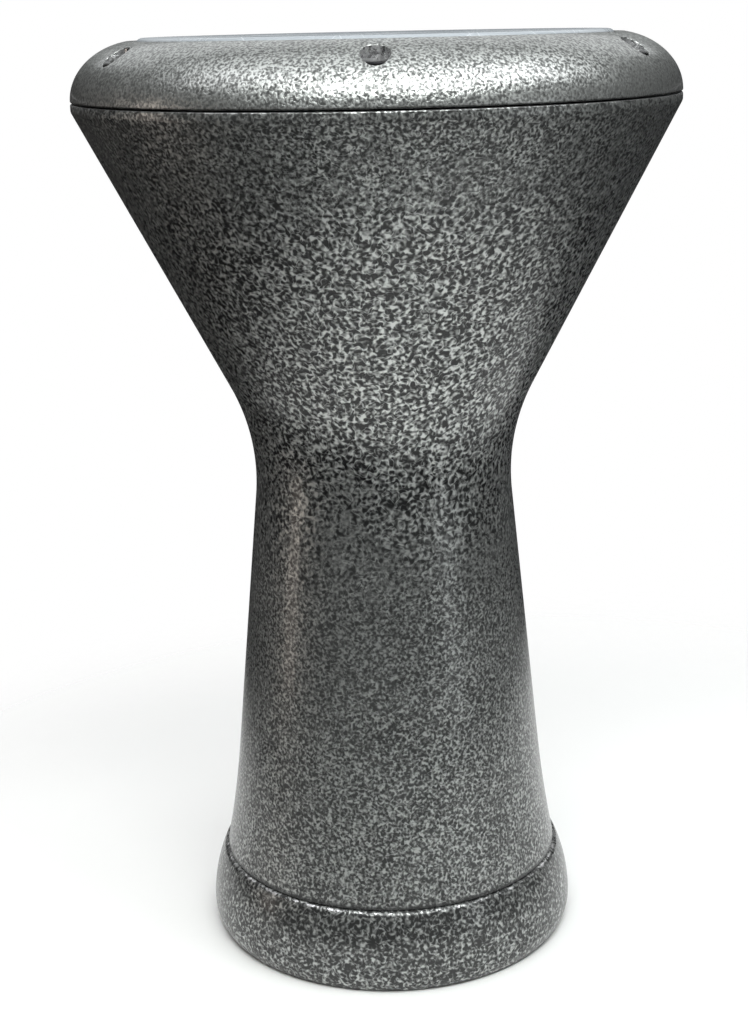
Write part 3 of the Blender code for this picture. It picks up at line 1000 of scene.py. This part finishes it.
bpy.ops.mesh.bisect(plane_co=below_tip, plane_no=(0, 0, 1), clear_inner=True, use_fill=True)
bpy.ops.mesh.select_all(action="SELECT")
bpy.ops.mesh.bisect(plane_co=inside_head, plane_no=(0, 0, 1), clear_outer=True, use_fill=True)
bpy.ops.mesh.select_all(action="SELECT")
bpy.ops.mesh.normals_make_consistent(inside=False)
bpy.ops.object.mode_set(mode="OBJECT")
tip = turn_piece(
    "tip",
    [
        (0, bolt_high.z),
        (head_radius, bolt_high.z),
        (head_radius, bolt_low.z + head_radius - thread_root),
        (thread_root, bolt_low.z),
        (0, bolt_low.z),
    ],
    48,
)
combine(thread, "INTERSECT", tip)
combine(bolt, "UNION", thread)
bpy.ops.object.mode_set(mode="EDIT")
bpy.ops.mesh.select_all(action="SELECT")
bpy.ops.mesh.delete_loose()
bpy.ops.mesh.select_all(action="SELECT")
bpy.ops.mesh.fill_holes(sides=4)
bpy.ops.object.mode_set(mode="OBJECT")
smooth(bolt, 30)
oxide, oxide_tree, oxide_shader, oxide_place = new_material("black_oxide")
oxide_dull = place_group(oxide_tree, smudge, Place=oxide_place, Patches=300.0)["Dull"]
worn_oxide = two_colours(oxide_tree, oxide_dull, (0.018, 0.018, 0.020), (0.060, 0.052, 0.046))
oxide_tree.links.new(worn_oxide, oxide_shader["Base Color"])
oxide_tree.links.new(spread(oxide_tree, oxide_dull, 0.3, 0.5), oxide_shader["Roughness"])
oxide_shader["Metallic"].default_value = 0.7
bolt.data.materials.append(oxide)
for number, axis in enumerate(bolt_axes, 1):
    copy = copy_to_bolt(bolt, f"cap_screw_{number}", axis, turn=0.7 * number)
    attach(copy, f"bolt_{number}")
    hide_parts(f"tuning_bolt_{number}")
bpy.data.objects.remove(bolt)

# Floor: a plain pale sheet that the drum stands on.
# It fades out into the white room round the drum, so that no edge of it shows.
sheet_middle = (0.08, 0.02, -0.0003)
sheet_radius = 0.9
fade_from = 0.28
fade_to = 0.50
bpy.ops.object.select_all(action="DESELECT")
bpy.ops.mesh.primitive_circle_add(
    vertices=96, radius=sheet_radius, fill_type="NGON", location=sheet_middle
)
floor = bpy.context.object
floor.name = "floor"
bpy.ops.object.transform_apply()
pale, pale_tree, pale_shader, pale_place = new_material("pale_floor")
from_middle = add_node(pale_tree, "VectorMath", {0: pale_place, 1: sheet_middle}, operation="DISTANCE")[1]
faded = spread(pale_tree, from_middle, 1.0, 0.0, fade_from, fade_to, soft=True)
pale_tree.links.new(faded, pale_shader["Alpha"])
pale_shader["Base Color"].default_value = (0.92, 0.92, 0.91, 1)
pale_shader["Roughness"].default_value = 0.6
floor.data.materials.append(pale)

# Light: a dark room that shows white behind the drum, and softboxes round it.
# Four hang high and one high at the back, five smaller ones light the floor about the drum,
# and a narrow strip stands on each side for the long streaks down the tube.
room = bpy.data.worlds.new("soft_room")
bpy.context.scene.world = room
room.use_nodes = True
room_tree = room.node_tree
behind = room_tree.nodes.new("ShaderNodeLightPath").outputs["Is Camera Ray"]
room_colour = two_colours(room_tree, behind, (0.02, 0.02, 0.021), (1, 1, 1))
room_tree.links.new(room_colour, room_tree.nodes["Background"].inputs["Color"])


def softbox(name, place, aim, width, height, power, colour, cone=180):
    """A rectangular area light at a place, turned to face a point, with a grid that narrows its cone."""
    lamp = bpy.data.lights.new(name, "AREA")
    lamp.shape = "RECTANGLE"
    lamp.size = width
    lamp.size_y = height
    lamp.energy = power
    lamp.spread = math.radians(cone)
    lamp.color = colour
    box = bpy.data.objects.new(name, lamp)
    box.location = place
    box.rotation_euler = (Vector(aim) - Vector(place)).to_track_quat("-Z", "Y").to_euler()
    bpy.context.scene.collection.objects.link(box)


to_ring = (0, 0, 0.4)
to_tube = (0, 0, 0.2)
softbox("overhead", (0.0, -0.1, 1.3), to_ring, 1.6, 1.0, 5.0, (0.96, 0.99, 1.0))
softbox("high_left", (-0.8, -0.35, 1.4), to_ring, 0.7, 0.6, 2.2, (0.98, 0.98, 1.0))
softbox("high_right", (0.8, -0.35, 1.4), to_ring, 0.7, 0.6, 6.0, (0.97, 0.99, 1.0))
softbox("high_front", (0.0, -1.4, 1.25), to_ring, 1.4, 0.5, 2.5, (0.97, 1.0, 1.0))
softbox("front_floor", (0.05, -0.52, 0.8), (0.04, -0.31, 0), 0.6, 0.2, 4.2, (0.97, 1.0, 0.98))
softbox("back_floor", (0.05, 0.62, 0.42), (0.05, 0.62, 0), 1.6, 0.8, 3.0, (1, 1, 1))
softbox("back_high", (0.0, 0.75, 0.9), (0, 0.45, 0), 1.4, 0.7, 2.8, (0.97, 0.99, 1.0))
softbox("front_pool", (0.03, -0.28, 0.7), (0.03, -0.28, 0), 0.4, 0.15, 0.22, (0.97, 1.0, 0.98), cone=50)
softbox("left_pool", (-0.36, 0.12, 0.35), (-0.30, 0.1, 0), 0.15, 0.5, 0.08, (0.98, 0.98, 1.0), cone=60)
softbox("right_pool", (0.36, 0.12, 0.35), (0.30, 0.1, 0), 0.15, 0.5, 0.08, (0.96, 0.99, 1.0), cone=60)
softbox("left_strip", (-0.6, -0.11, 0.25), to_tube, 0.12, 0.5, 0.3, (1.0, 0.86, 0.76))
softbox("right_strip", (0.475, -0.4, 0.25), to_tube, 0.16, 0.5, 0.25, (0.95, 0.99, 1.0))

# Camera: just above the head's height, looking down at the drum, with a slight roll.
# Its lens is worked out for an upright picture, where the sensor's long side is the height.
image_height = 1020
focal_pixels = 1715
camera_place = (0, -0.8163, 0.4479)
camera = bpy.data.objects.new("camera", bpy.data.cameras.new("camera"))
camera.data.sensor_width = 36
camera.data.lens = camera.data.sensor_width * focal_pixels / image_height
camera_turn = math.radians(0.36)
camera_dip = math.radians(15.96)
camera_roll = math.radians(-1.23)
camera.matrix_world = (
    Matrix.Translation(camera_place)
    @ Matrix.Rotation(camera_turn, 4, "Z")
    @ Matrix.Rotation(math.pi / 2 - camera_dip, 4, "X")
    @ Matrix.Rotation(camera_roll, 4, "Z")
)
bpy.context.scene.collection.objects.link(camera)
bpy.context.scene.camera = camera
bpy.context.scene.view_settings.view_transform = "Standard"
